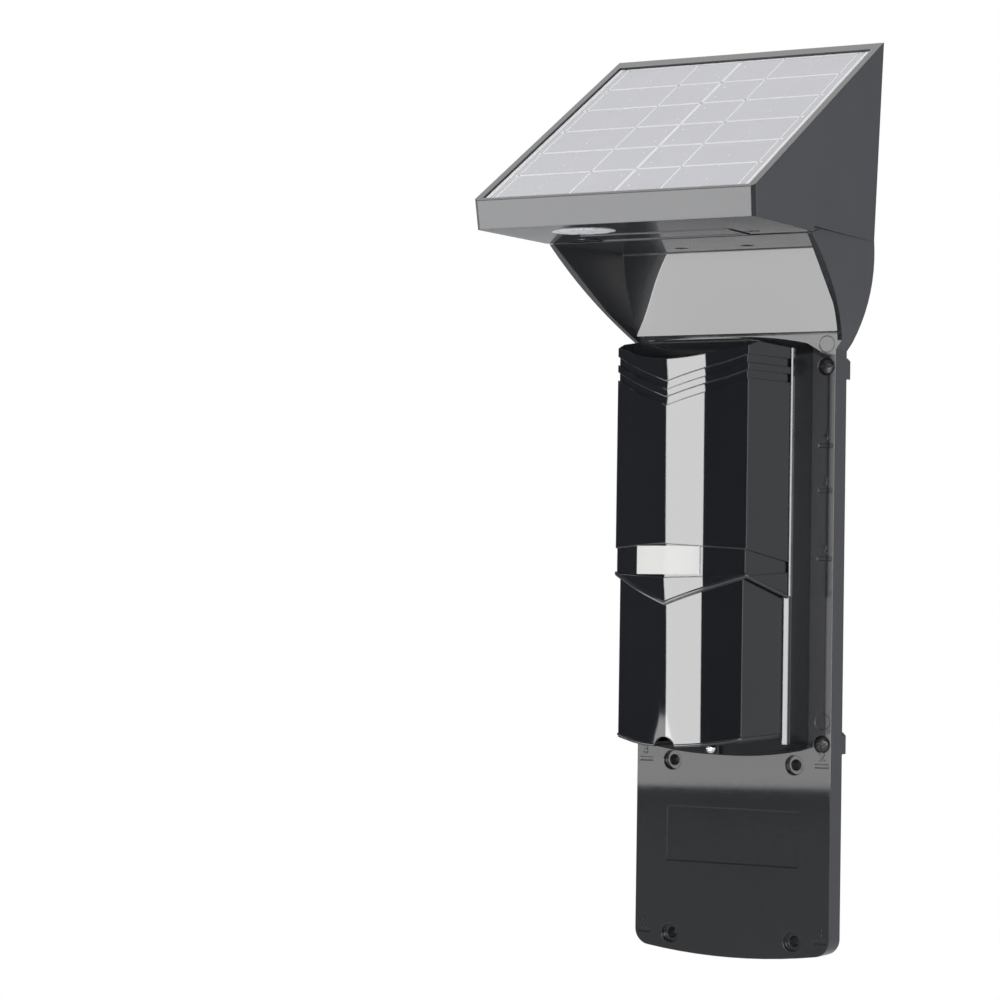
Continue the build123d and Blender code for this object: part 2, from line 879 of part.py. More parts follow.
def make_detector_cover():
    low = cover_low - 2
    high = cover_high + 2
    half = cover_rear_x + 3
    full = cover_block(0, cover_rear_y, low, high)
    slim = cover_block(cover_step, cover_rear_y - cover_step, low, high)
    step = line_profile(step_line, 0, half)
    above = along_y(
        xz([(-half, high + 5)] + step + [(half, high + 5)]), -cover_front - 10, -cover_rear_y + 2)
    upper = full & above
    lower = slim & along_y(
        xz([(-half, low - 5)] + line_profile(step_line, 1.0, half) + [(half, low - 5)]),
        -cover_front - 10, -cover_rear_y)
    body = (upper + lower) & cover_envelope(0)
    # grooves and belt are cut into the outer skin only
    core = cover_block(groove_depth, cover_rear_y, low - 1, high + 1)
    for i in range(2):
        shift = -i * groove_pitch
        cutter = band(groove_line(shift, half), groove_line(shift - groove_height, half))
        body -= cutter - core
    belt_core = cover_block(belt_depth, cover_rear_y, low - 1, high + 1)
    belt = band(line_profile(belt_top, 0, half), line_profile(belt_bottom, 0, half))
    body -= belt - belt_core
    # hollow inside, open at the rear
    inner = cover_block(cover_wall + groove_depth, 0, low, high)
    slim_inner = cover_block(cover_wall + cover_step, 0, low, high)
    split = min(step_line) - 2
    inner_high = inner & block(-half, half, -cover_front, 0, split, high)
    inner_low = slim_inner & block(-half, half, -cover_front, 0, low, split + 1)
    body -= (inner_high + inner_low) & cover_envelope(cover_wall)
    # screwdriver notch
    body -= rod_y(0, cover_low - 0.6, notch_radius, -cover_front - 5, 0)
    return body


def make_label():
    outer = cover_block(-label_proud, cover_rear_y, label_low, label_high)
    inner = cover_block(belt_depth - label_fit, cover_rear_y, label_low - 1, label_high + 1)
    w = label_half_width
    return (outer - inner) & block(-w, w, -cover_front - 5, -cover_facet_y, label_low, label_high)


def make_cover_screw():
    z = cover_screw_height
    head = rod_y(0, z, cover_screw_head / 2, -base_depth - cover_screw_head_length, -base_depth)
    rim = head.edges().filter_by(GeomType.CIRCLE).sort_by(Axis.Y)[0]
    head = chamfer([rim], cover_screw_head_length * 0.25)
    shank = rod_y(0, z, cover_screw_shank / 2, -base_depth - 0.2, -base_depth + 8)
    slot = block(-3, 3, -base_depth - cover_screw_head_length - 1, -base_depth - cover_screw_head_length + 0.9,
                 z - 0.4, z + 0.4)
    return head + shank - slot


def make_gasket():
    # seal on the ledge of the base, inside the wall of the cover
    opening = cover_envelope(cover_wall) & cover_block(
        cover_wall + cover_step + gasket_fit, 0, cover_low, cover_high)
    opening = opening & block(-cover_rear_x, cover_rear_x, -cover_rear_y - gasket_width, -base_depth,
                              cover_low + cover_wall + gasket_fit, cover_high)
    return opening - along_y(base_pocket_outline(base_ledge), -cover_front, 0)


# optics

def make_arm(sign):
    # fixed arm from the base that carries one end of the upright pan axis
    near = axis_z + sign * (yoke_half_height + yoke_sheet + pan_gap)
    far = near + sign * arm_thickness
    z0, z1 = min(near, far), max(near, far)
    arm = block(-arm_half_width, arm_half_width, axis_y, -main_board_front - board_thickness - 0.4, z0, z1)
    arm += rod_z(0, axis_y, arm_half_width, z0, z1)
    leg_low, leg_high = (z0, z1 + 8) if sign > 0 else (z0 - 8, z1)
    front = -main_board_front - board_thickness
    arm += block(-arm_half_width, arm_half_width, front - 3, front, leg_low, leg_high)
    arm -= rod_z(0, axis_y, pan_pin_diameter / 2 + pan_pin_fit, z0 - 1, z1 + 1)
    return arm


def make_yoke():
    w = yoke_half_width
    h = yoke_half_height
    t = yoke_sheet
    y0 = axis_y - yoke_half_depth
    y1 = axis_y + yoke_half_depth
    yoke = block(-w, w, y0, y1, axis_z + h, axis_z + h + t)
    yoke += block(-w, w, y0, y1, axis_z - h - t, axis_z - h)
    for side in (-1, 1):
        x0, x1 = sorted((side * (w - t), side * w))
        yoke += block(x0, x1, y0, y1, axis_z - h - 0.5, axis_z + h + 0.5)
    for side in (-1, 1):
        z_in = axis_z + side * (h + t - 0.5)
        z_out = axis_z + side * (h + t + pan_gap + arm_thickness)
        yoke += rod_z(0, axis_y, pan_pin_diameter / 2, min(z_in, z_out), max(z_in, z_out))
    yoke -= rod_x(axis_y, axis_z, tilt_pin_diameter / 2 + tilt_pin_fit, -w - 1, w + 1)
    return yoke


def make_optic_block():
    w = optic_half_width
    y0 = axis_y - optic_front
    y1 = axis_y + optic_back
    body = block(-w, w, y0, y1, axis_z - optic_half_height, axis_z + optic_half_height)
    body = fillet(body.edges().filter_by(Axis.Y), 3.0)
    for side in (-1, 1):
        z = axis_z + side * lens_pitch / 2
        body -= rod_y(0, z, lens_diameter / 2 + 0.1, y0 - 1, y0 + lens_seat)
        body -= rod_y(0, z, lens_diameter / 2 - 1.5, y0 - 1, y1 - 3)
    body += rod_x(axis_y, axis_z, tilt_pin_diameter / 2, -yoke_half_width, yoke_half_width)
    body -= block(-sight_width / 2 - 0.1, sight_width / 2 + 0.1, y0 - 1, y0 + sight_depth / 2,
                  axis_z - sight_height / 2 - 0.1, axis_z + sight_height / 2 + 0.1)
    return body


def make_lens(side):
    z = axis_z + side * lens_pitch / 2
    y0 = axis_y - optic_front + lens_seat
    disc = rod_y(0, z, lens_diameter / 2, y0 - lens_edge, y0)
    radius = ((lens_diameter / 2 - 0.5) ** 2 + lens_bulge ** 2) / (2 * lens_bulge)
    ball = Pos(0, y0 - lens_edge - lens_bulge + radius, z) * Sphere(radius)
    cap = ball & rod_y(0, z, lens_diameter / 2, y0 - lens_edge - lens_bulge - 1, y0 - lens_edge + 0.2)
    return disc + cap


def make_sight():
    y0 = axis_y - optic_front - sight_depth / 2
    y1 = axis_y - optic_front + sight_depth / 2
    box = block(-sight_width / 2, sight_width / 2, y0, y1, axis_z - sight_height / 2, axis_z + sight_height / 2)
    return box - rod_y(0, axis_z, 2.5, y0 - 1, y1 - 1)


def make_main_board():
    front = -main_board_front - board_thickness
    w = main_board_half_width
    board = block(-w, w, front, -main_board_front, main_board_low, main_board_high)
    z = wire_height()
    board -= rod_y(0, z, wire_hole_diameter / 2 + 3, front - 1, 0)
    chip = block(chip_x - chip_size / 2, chip_x + chip_size / 2, front - chip_size / 6, front + 0.2,
                 chip_z - chip_size / 2, chip_z + chip_size / 2)
    coil = rod_y(coil_x, coil_z, coil_radius, front - coil_radius * 1.5, front + 0.2)
    relay = block(relay_x - relay_width / 2, relay_x + relay_width / 2, front - relay_height * 0.6, front + 0.2,
                  relay_z - relay_height / 2, relay_z + relay_height / 2)
    return board + chip + coil + relay


def make_terminal_block():
    front = -main_board_front - board_thickness
    half = terminal_width / 2
    body = block(-half, half, front - terminal_depth, front, terminal_low, terminal_low + terminal_height)
    pitch = terminal_width / terminal_ways
    for i in range(terminal_ways):
        x = -half + pitch * (i + 0.5)
        body -= rod_y(x, terminal_low + terminal_height / 2 + 1, pitch * 0.28, front - terminal_depth - 1,
                      front - terminal_depth + 2)
        body -= block(x - pitch * 0.3, x + pitch * 0.3, front - terminal_depth + 2, front - 1.5,
                      terminal_low - 1, terminal_low + 3)
    return body


def make_tamper_switch():
    front = -main_board_front - board_thickness
    z0 = main_board_high - tamper_height * 1.8
    x0 = main_board_half_width - tamper_width * 1.5
    body = block(x0 - tamper_width / 2, x0 + tamper_width / 2, front - tamper_depth, front, z0, z0 + tamper_height)
    button = rod_y(x0, z0 + tamper_height / 2, 1.5, front - tamper_depth - 2.5, front - tamper_depth + 0.2)
    return body + button


def build_all():
    nodes = {}
    nodes["mounting_bracket"] = make_mounting_bracket()
    nodes["rear_bar_lower"] = make_rear_bar(bar_heights[0])
    nodes["rear_bar_upper"] = make_rear_bar(bar_heights[1])
    names = ("lower_left", "lower_right", "upper_left", "upper_right")
    for name, (x, z) in zip(names, plug_places()):
        nodes["bar_screw_" + name] = make_plug(x, z)
    nodes["solar_housing"] = make_solar_housing()
    nodes["solar_cell_sheet"] = make_cell_sheet()
    nodes["solar_panel_glass"] = make_panel_glass()
    nodes["battery_hatch"] = make_hatch()
    nodes["vent_pad"] = make_vent_pad()
    for i, (x, y) in enumerate(roof_screws()):
        nodes["housing_screw_%d" % (i + 1)] = make_up_screw(x, y, roof_seat())
    nodes["holder_screw_left"] = make_up_screw(-holder_screw_x, holder_screw_y, holder_seat())
    nodes["holder_screw_right"] = make_up_screw(holder_screw_x, holder_screw_y, holder_seat())
    nodes["battery_holder"] = make_battery_holder()
    for i in range(3):
        nodes["battery_cell_%d" % (i + 1)] = make_battery(i)
    nodes["charge_board"] = make_charge_board()
    nodes["detector_base"] = make_detector_base()
    for name, (x, z) in zip(names, base_screw_places()):
        nodes["base_screw_" + name] = make_base_screw(x, z)
    nodes["wire_grommet"] = make_grommet()
    nodes["detector_cover"] = make_detector_cover()
    nodes["badge_plate"] = make_label()
    nodes["cover_screw"] = make_cover_screw()
    nodes["cover_gasket"] = make_gasket()
    nodes["main_board"] = make_main_board()
    nodes["terminal_block"] = make_terminal_block()
    nodes["tamper_switch"] = make_tamper_switch()
    nodes["pan_arm_upper"] = make_arm(1)
    nodes["pan_arm_lower"] = make_arm(-1)
    nodes["pan_yoke"] = make_yoke()
    nodes["optic_block"] = make_optic_block()
    nodes["lens_upper"] = make_lens(1)
    nodes["lens_lower"] = make_lens(-1)
    nodes["alignment_sight"] = make_sight()
    return nodes


os.makedirs("parts", exist_ok=True)
for node_name, shape in build_all().items():
    export_step(ORIGIN * shape, "parts/" + node_name + ".step")
    box = shape.bounding_box()
    print(node_name, len(shape.solids()), round(shape.volume, 1))
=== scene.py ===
import json
import math

import bmesh
import bpy
from mathutils import Matrix, Vector, noise


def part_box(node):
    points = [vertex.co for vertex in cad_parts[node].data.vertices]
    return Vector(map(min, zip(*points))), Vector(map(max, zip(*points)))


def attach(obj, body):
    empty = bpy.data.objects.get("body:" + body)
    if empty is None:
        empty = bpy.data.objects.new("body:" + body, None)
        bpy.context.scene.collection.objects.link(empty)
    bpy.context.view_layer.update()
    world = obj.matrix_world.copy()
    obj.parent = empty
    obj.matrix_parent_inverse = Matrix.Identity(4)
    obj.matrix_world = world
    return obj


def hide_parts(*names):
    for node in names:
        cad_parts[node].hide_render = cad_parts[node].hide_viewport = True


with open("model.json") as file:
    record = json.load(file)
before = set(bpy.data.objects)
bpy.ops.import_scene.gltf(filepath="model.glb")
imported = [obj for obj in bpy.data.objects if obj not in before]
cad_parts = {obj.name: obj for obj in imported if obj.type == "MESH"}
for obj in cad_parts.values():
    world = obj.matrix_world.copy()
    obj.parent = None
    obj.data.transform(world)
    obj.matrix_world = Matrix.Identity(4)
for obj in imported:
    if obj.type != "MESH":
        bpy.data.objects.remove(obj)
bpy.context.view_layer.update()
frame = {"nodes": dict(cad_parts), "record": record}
NODES = frame["nodes"]

# millimetres from the wall plate's lower edge and front face to the row frame's origin,
# which is the middle of the four wall screw holes, on the wall
HOLE_Z = 52.75
WALL_Y = 20.0


def mm(x, y, z):
    # a point given from the plate's front face and lower edge, in metres in the row frame
    return Vector((x / 1000.0, (y - WALL_Y) / 1000.0, (z - HOLE_Z) / 1000.0))


# camera

SENSOR = 36.0
FOCAL = 113.35
CAMERA_YAW, CAMERA_PITCH, CAMERA_ROLL = 29.76, 1.479, 0.867
CAMERA_PLACE = mm(668.1, -1402.5, 182.7)


def make_camera():
    data = bpy.data.cameras.new("camera")
    data.sensor_width = SENSOR
    data.lens = FOCAL
    data.clip_start = 0.05
    data.clip_end = 30.0
    cam = bpy.data.objects.new("camera", data)
    bpy.context.scene.collection.objects.link(cam)
    yaw, pitch, roll = (math.radians(a) for a in (CAMERA_YAW, CAMERA_PITCH, CAMERA_ROLL))
    ahead = Vector((-math.sin(yaw) * math.cos(pitch), math.cos(yaw) * math.cos(pitch),
                    math.sin(pitch)))
    level = Vector((math.cos(yaw), math.sin(yaw), 0.0))
    upright = level.cross(ahead)
    right = level * math.cos(roll) + upright * math.sin(roll)
    up = upright * math.cos(roll) - level * math.sin(roll)
    turn = Matrix((right, up, -ahead)).transposed().to_4x4()
    cam.matrix_world = Matrix.Translation(CAMERA_PLACE) @ turn
    bpy.context.scene.camera = cam


make_camera()
bpy.context.scene.view_settings.view_transform = "Standard"


# node helpers: a value is a number, a tuple or another node's output

def node(nt, kind, **values):
    n = nt.nodes.new(kind)
    for key, value in values.items():
        setattr(n, key, value)
    return n


def feed(nt, socket, value):
    if isinstance(value, bpy.types.NodeSocket):
        nt.links.new(value, socket)
    else:
        socket.default_value = value


def maths(nt, operation, *values):
    n = node(nt, "ShaderNodeMath", operation=operation)
    for socket, value in zip(n.inputs, values):
        feed(nt, socket, value)
    return n.outputs[0]


def ramp(nt, source, low, high, out_low, out_high):
    m = node(nt, "ShaderNodeMapRange")
    m.inputs["From Min"].default_value = low
    m.inputs["From Max"].default_value = high
    m.inputs["To Min"].default_value = out_low
    m.inputs["To Max"].default_value = out_high
    nt.links.new(source, m.inputs["Value"])
    return m.outputs["Result"]


def blend(nt, kind, fac, a, b):
    # kind is FLOAT, VECTOR or RGBA
    m = node(nt, "ShaderNodeMix", data_type=kind)
    feed(nt, m.inputs["Factor"], fac)
    feed(nt, m.inputs["A"], a)
    feed(nt, m.inputs["B"], b)
    return m.outputs["Result"]


def colour_mix(nt, fac, a, b):
    return blend(nt, "RGBA", fac, (*a, 1), (*b, 1))


def shader_mix(nt, fac, a, b):
    m = node(nt, "ShaderNodeMixShader")
    nt.links.new(fac, m.inputs["Fac"])
    nt.links.new(a, m.inputs[1])
    nt.links.new(b, m.inputs[2])
    return m.outputs[0]


def direct_ray(nt):
    # 1 for rays that come from the camera, also through something clear
    path = node(nt, "ShaderNodeLightPath")
    return maths(nt, "MAXIMUM", path.outputs["Is Camera Ray"], path.outputs["Is Transmission Ray"])


# world and lamps

def backdrop(nt, colour, strength):
    n = node(nt, "ShaderNodeBackground")
    n.inputs["Color"].default_value = (*colour, 1)
    feed(nt, n.inputs["Strength"], strength)
    return n.outputs[0]


def towards(nt, direction):
    # how nearly a ray points in a direction
    coords = node(nt, "ShaderNodeTexCoord")
    dot = node(nt, "ShaderNodeVectorMath", operation="DOT_PRODUCT")
    nt.links.new(coords.outputs["Generated"], dot.inputs[0])
    dot.inputs[1].default_value = direction
    return dot.outputs["Value"]


def make_world():
    world = bpy.data.worlds.new("studio")
    bpy.context.scene.world = world
    world.use_nodes = True
    nt = world.node_tree
    nt.nodes.clear()
    white = backdrop(nt, (1.0, 1.0, 1.0), 1.0)
    room = backdrop(nt, (0.96, 0.98, 1.0), 0.30)
    # reflections show the bright backdrop behind the object, a dimmer wall behind on the right
    # and a dark room in front
    behind = ramp(nt, towards(nt, (-0.50, 0.866, 0.0)), 0.80, 0.95, 0.035, 1.0)
    aside = ramp(nt, towards(nt, (0.70, 0.71, 0.0)), 0.5, 1.0, 0.0, 0.30)
    mirror = backdrop(nt, (0.95, 0.97, 1.0), maths(nt, "ADD", behind, aside))
    path = node(nt, "ShaderNodeLightPath")
    indirect = shader_mix(nt, path.outputs["Is Glossy Ray"], room, mirror)
    out = node(nt, "ShaderNodeOutputWorld")
    nt.links.new(shader_mix(nt, direct_ray(nt), indirect, white), out.inputs["Surface"])


def area(name, place, target, width, height, radiance):
    data = bpy.data.lights.new(name, "AREA")
    data.shape = "RECTANGLE"
    data.size = width
    data.size_y = height
    data.energy = radiance * math.pi * width * height
    lamp = bpy.data.objects.new(name, data)
    bpy.context.scene.collection.objects.link(lamp)
    lamp.location = place
    aim = Vector(target) - Vector(place)
    lamp.rotation_mode = "QUATERNION"
    lamp.rotation_quaternion = aim.to_track_quat("-Z", "Y")
    lamp.visible_camera = False
    return lamp


def at_angle(azimuth, distance, height):
    # azimuth 0 is straight in front (-Y), positive towards +X
    a = math.radians(azimuth)
    return Vector((math.sin(a) * distance, -math.cos(a) * distance - 0.06, height))


def make_lamps():
    # places and sizes in metres
    head = (0.0, -0.06, 0.35)
    area("front_box", at_angle(9.7, 1.5, 0.17), (0.0, -0.08, 0.17), 1.28, 0.48, 5.7)
    # small card below and in front of the housing, mirrored by its leaning front edge only
    card = Vector((-0.079, -0.30, 0.2735))
    area("face_card", card, (-0.079, 0.0, 0.2735), 0.178, 0.037, 3.65)
    # low card that faces up, mirrored only by the foot of the plate
    bearing = -27.0
    place = at_angle(bearing, 0.60, 0.022)
    low_card = area("low_card", place, place + Vector((0, 0, 1)), 0.6, 1.0, 2.4)
    spin = Matrix.Rotation(math.radians(bearing), 4, "Z").to_quaternion()
    face_up = Matrix.Rotation(math.pi, 4, "X").to_quaternion()
    low_card.rotation_quaternion = spin @ face_up
    area("top_box", Vector((0.1, -0.2, 1.5)), head, 1.2, 1.0, 1.5)
    area("back_card", Vector((-0.62, 0.72, 1.30)), head, 1.3, 1.3, 1.1)
    area("right_fill", at_angle(96.0, 1.5, 0.35), (0.0, -0.06, 0.17), 0.9, 1.1, 1.9)


make_world()
make_lamps()


# materials

def new_material(name):
    mat = bpy.data.materials.new(name)
    mat.use_nodes = True
    nt = mat.node_tree
    return mat, nt, nt.nodes["Principled BSDF"]


def object_noise(nt, scale, detail=3.0):
    coords = node(nt, "ShaderNodeTexCoord")
    cloud = node(nt, "ShaderNodeTexNoise")
    cloud.inputs["Scale"].default_value = scale
    cloud.inputs["Detail"].default_value = detail
    cloud.inputs["Roughness"].default_value = 0.6
    nt.links.new(coords.outputs["Object"], cloud.inputs["Vector"])
    return cloud.outputs["Fac"]


def rounded(nt, radius):
    bevel = node(nt, "ShaderNodeBevel")
    bevel.samples = 4
    bevel.inputs["Radius"].default_value = radius
    return bevel.outputs["Normal"]


def bump(nt, height, strength, distance, normal):
    b = node(nt, "ShaderNodeBump")
    b.inputs["Distance"].default_value = distance
    feed(nt, b.inputs["Strength"], strength)
    nt.links.new(height, b.inputs["Height"])
    nt.links.new(normal, b.inputs["Normal"])
    return b.outputs["Normal"]


def moulded(name, base, vary, rough, rough_vary, ior=1.6, edge=0.0005, peel=0.04):
    # smooth moulded plastic with faint waviness
    mat, nt, bsdf = new_material(name)
    cloud = object_noise(nt, 45.0, 4.0)
    nt.links.new(colour_mix(nt, cloud, base, vary), bsdf.inputs["Base Color"])
    fine = object_noise(nt, 260.0, 2.0)
    nt.links.new(ramp(nt, fine, 0.3, 0.7, rough, rough + rough_vary), bsdf.inputs["Roughness"])
    bsdf.inputs["IOR"].default_value = ior
    wave = object_noise(nt, 22.0, 1.0)
    nt.links.new(bump(nt, wave, peel, 0.0006, rounded(nt, edge)), bsdf.inputs["Normal"])
    return mat


# wall inside the hood: the box and the facing that pick it out of the shell
WALL_LOW = mm(0, 0, 306.5).z
WALL_HIGH = mm(0, 0, 346.0).z
WALL_FRONT = mm(0, -12.0, 0).y
WALL_FACING = -0.75
# its left end is dark as far as a slanting line, measured across in metres at height 0
WALL_SLANT = -0.55
DARK_START, DULL_START, DARK_END = -0.214, -0.209, -0.196
EDGE_START, EDGE_END = -0.1965, -0.1955
# the way it faces at its far left, beside the line and right of the line
WALL_NORMALS = ((-0.40, -0.915, -0.056), (-0.080, -0.995, -0.056), (0.342, -0.938, -0.056))
# height above which the inner sides of the hood's wings turn dull
CHEEK_START, CHEEK_FULL = mm(0, 0, 296.0).z, mm(0, 0, 300.0).z
GLOSS_ROUGH, MATTE_ROUGH, DULL_ROUGH = (0.06, 0.10), 0.48, 0.42


def hood_wall(nt, place, facing):
    # mask of the wall, its normal, and how dull its dark end is
    mask = maths(nt, "GREATER_THAN", place.outputs["Z"], WALL_LOW)
    for test in (maths(nt, "LESS_THAN", place.outputs["Z"], WALL_HIGH),
                 maths(nt, "GREATER_THAN", place.outputs["Y"], WALL_FRONT),
                 maths(nt, "LESS_THAN", facing, WALL_FACING)):
        mask = maths(nt, "MULTIPLY", mask, test)
    across = maths(nt, "MULTIPLY_ADD", place.outputs["Z"], WALL_SLANT, place.outputs["X"])
    turn = ramp(nt, across, DARK_START, DARK_END, 0.0, 1.0)
    step = ramp(nt, across, EDGE_START, EDGE_END, 0.0, 1.0)
    far, near, bright = WALL_NORMALS
    normal = blend(nt, "VECTOR", step, blend(nt, "VECTOR", turn, far, near), bright)
    # the dark end gets duller towards the bright part, so that the edge between them is softer
    fade = ramp(nt, across, DULL_START, DARK_END, 0.0, 1.0)
    fade = maths(nt, "MULTIPLY", fade, maths(nt, "SUBTRACT", 1.0, step))
    return mask, normal, maths(nt, "MULTIPLY", fade, mask)


def shell_material():
    # glossy on faces that look forward, fine matte texture on the outer sides
    mat, nt, bsdf = new_material("shell_black")
    geo = node(nt, "ShaderNodeNewGeometry")
    facing = node(nt, "ShaderNodeSeparateXYZ")
    nt.links.new(geo.outputs["True Normal"], facing.inputs[0])
    place = node(nt, "ShaderNodeSeparateXYZ")
    nt.links.new(geo.outputs["Position"], place.inputs[0])
    outward = maths(nt, "MULTIPLY", facing.outputs["X"], maths(nt, "SIGN", place.outputs["X"]))
    flank = ramp(nt, outward, 0.76, 0.84, 0.0, 1.0)
    # the inner sides of the hood's wings are dull as well
    cheek = maths(nt, "MULTIPLY", ramp(nt, outward, -0.45, -0.30, 1.0, 0.0),
                  ramp(nt, place.outputs["Z"], CHEEK_START, CHEEK_FULL, 0.0, 0.8))
    cloud = object_noise(nt, 38.0, 4.0)
    gloss = colour_mix(nt, cloud, (0.020, 0.021, 0.024), (0.028, 0.029, 0.032))
    matte = colour_mix(nt, cloud, (0.050, 0.052, 0.060), (0.066, 0.068, 0.077))
    nt.links.new(blend(nt, "RGBA", flank, gloss, matte), bsdf.inputs["Base Color"])
    bsdf.inputs["IOR"].default_value = 1.75
    smooth = ramp(nt, object_noise(nt, 300.0, 2.0), 0.3, 0.7, *GLOSS_ROUGH)
    rough = blend(nt, "FLOAT", maths(nt, "MAXIMUM", flank, cheek), smooth, MATTE_ROUGH)
    mask, wall_normal, dull = hood_wall(nt, place, facing.outputs["Y"])
    nt.links.new(blend(nt, "FLOAT", dull, rough, DULL_ROUGH), bsdf.inputs["Roughness"])
    grain = bump(nt, object_noise(nt, 1500.0, 2.0), blend(nt, "FLOAT", flank, 0.02, 0.35), 0.00022,
                 rounded(nt, 0.0006))
    wave = bump(nt, object_noise(nt, 16.0, 1.0), 0.05, 0.001, grain)
    nt.links.new(blend(nt, "VECTOR", mask, wave, wall_normal), bsdf.inputs["Normal"])
    return mat


def metal(name, colour, rough):
    mat, nt, bsdf = new_material(name)
    cloud = object_noise(nt, 900.0)
    darker = tuple(c * 0.82 for c in colour)
    nt.links.new(colour_mix(nt, cloud, darker, colour), bsdf.inputs["Base Color"])
    bsdf.inputs["Metallic"].default_value = 1.0
    nt.links.new(ramp(nt, cloud, 0.3, 0.7, rough, rough + 0.1), bsdf.inputs["Roughness"])
    nt.links.new(bump(nt, cloud, 0.05, 0.0001, rounded(nt, 0.0002)), bsdf.inputs["Normal"])
    return mat


def clear_sheet(name, tint, rough):
    # thin clear cover: passes light straight and reflects at its outer surface
    mat = bpy.data.materials.new(name)
    mat.use_nodes = True
    nt = mat.node_tree
    nt.nodes.clear()
    clear = node(nt, "ShaderNodeBsdfTransparent")
    clear.inputs["Color"].default_value = (*tint, 1)
    shine = node(nt, "ShaderNodeBsdfGlossy")
    gleam = ramp(nt, object_noise(nt, 60.0), 0.3, 0.7, rough, rough + 0.05)
    nt.links.new(gleam, shine.inputs["Roughness"])
    fresnel = node(nt, "ShaderNodeFresnel")
    fresnel.inputs["IOR"].default_value = 1.45
    geo = node(nt, "ShaderNodeNewGeometry")
    outer = maths(nt, "SUBTRACT", 1.0, geo.outputs["Backfacing"])
    share = maths(nt, "MULTIPLY", fresnel.outputs[0], outer)
    out = node(nt, "ShaderNodeOutputMaterial")
    nt.links.new(shader_mix(nt, share, clear.outputs[0], shine.outputs[0]), out.inputs["Surface"])
    return mat


SHELL = shell_material()
COVER = moulded("cover_black", (0.007, 0.008, 0.010), (0.009, 0.010, 0.013), 0.03, 0.02,
                ior=1.95, edge=0.0006, peel=0.015)
LIP = moulded("cover_lip_black", (0.016, 0.017, 0.019), (0.02, 0.021, 0.023), 0.10, 0.04,
              ior=1.9, edge=0.0003, peel=0.02)
BASE = moulded("base_black", (0.008, 0.009, 0.011), (0.011, 0.012, 0.014), 0.30, 0.06, ior=1.35)
PLUG = moulded("plug_black", (0.012, 0.012, 0.014), (0.02, 0.02, 0.022), 0.22, 0.06, edge=0.0003)
STEEL = metal("screw_steel", (0.78, 0.79, 0.81), 0.16)
ZINC = metal("zinc_sheet", (0.62, 0.63, 0.66), 0.28)
CELL = moulded("cell_grey", (0.50, 0.50, 0.54), (0.55, 0.55, 0.59), 0.12, 0.08,
               ior=1.45, edge=0.0002, peel=0.01)
WHITE = moulded("sheet_white", (0.80, 0.80, 0.82), (0.86, 0.86, 0.87), 0.35, 0.08,
                ior=1.45, edge=0.0002, peel=0.01)
BADGE = moulded("badge_white", (0.46, 0.455, 0.45), (0.50, 0.495, 0.49), 0.22, 0.05,
                ior=1.3, edge=0.0003, peel=0.01)
RUBBER = moulded("rubber_black", (0.018, 0.018, 0.018), (0.026, 0.026, 0.026), 0.62, 0.1, ior=1.45)
INNER = moulded("inner_black", (0.03, 0.03, 0.033), (0.04, 0.04, 0.043), 0.42, 0.1)
FOIL = moulded("vent_pale", (0.30, 0.31, 0.33), (0.50, 0.51, 0.53), 0.22, 0.2, peel=0.6)
BATTERY = moulded("battery_blue", (0.05, 0.16, 0.30), (0.07, 0.19, 0.34), 0.3, 0.1)
BOARD = moulded("board_green", (0.015, 0.10, 0.05), (0.02, 0.13, 0.065), 0.38, 0.1)
TERMINAL = moulded("terminal_green", (0.03, 0.16, 0.08), (0.04, 0.19, 0.10), 0.4, 0.1)
CLEAR = clear_sheet("panel_clear", (0.96, 0.97, 0.99), 0.04)
LENS = clear_sheet("lens_clear", (0.85, 0.88, 0.92), 0.02)

BY_SLOT = {
    "black_shell": SHELL,
    "dark_window": COVER,
    "black_base": BASE,
    "black_screw": PLUG,
    "steel_screw": STEEL,
    "solar_cells": WHITE,
    "panel_glass": CLEAR,
    "soft_rubber": RUBBER,
    "vent_foil": FOIL,
    "inner_plastic": INNER,
    "battery_sleeve": BATTERY,
    "circuit_board": BOARD,
    "terminal_plastic": TERMINAL,
    "white_badge": BADGE,
    "yoke_steel": ZINC,
    "lens_clear": LENS,
}


def dress_nodes():
    slots = {s["node"]: s["material_slot"] for s in frame["record"]["subparts"]}
    for name, obj in NODES.items():
        obj.data.materials.clear()
        obj.data.materials.append(BY_SLOT[slots[name]])


dress_nodes()


# mesh helpers

def add_object(name, data):
    obj = bpy.data.objects.new(name, data)
    bpy.context.scene.collection.objects.link(obj)
    return obj


def mesh_data(name, bm):
    data = bpy.data.meshes.new(name)
    bm.to_mesh(data)
    bm.free()
    return data


def finish_mesh(name, bm, mat, smooth_angle=None):
    bmesh.ops.recalc_face_normals(bm, faces=bm.faces)
    data = mesh_data(name, bm)
    data.materials.append(mat)
    obj = add_object(name, data)
    if smooth_angle is not None:
        data.polygons.foreach_set("use_smooth", [True] * len(data.polygons))
        data.set_sharp_from_angle(angle=math.radians(smooth_angle))
    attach(obj, "case")
    return obj


def wall_between(bm, ring, following):
    # faces between two equal closed rings of vertices
    count = len(ring)
    for k in range(count):
        j = (k + 1) % count
        bm.faces.new((ring[k], ring[j], following[j], following[k]))


def slab(bm, low_ring, high_ring):
    # closed block between two equal rings of corner points
    low = [bm.verts.new(p) for p in low_ring]
    high = [bm.verts.new(p) for p in high_ring]
    bm.faces.new(low[::-1])
    bm.faces.new(high)
    wall_between(bm, low, high)


def strip_along(bm, rings):
    # joins equal rings of corner points into one closed strip
    made = [[bm.verts.new(p) for p in ring] for ring in rings]
    for ring, following in zip(made, made[1:]):
        wall_between(bm, ring, following)
    bm.faces.new(made[0][::-1])
    bm.faces.new(made[-1])


# solar panel face, in millimetres across (x), along (s) and above (up) the sloped top plane

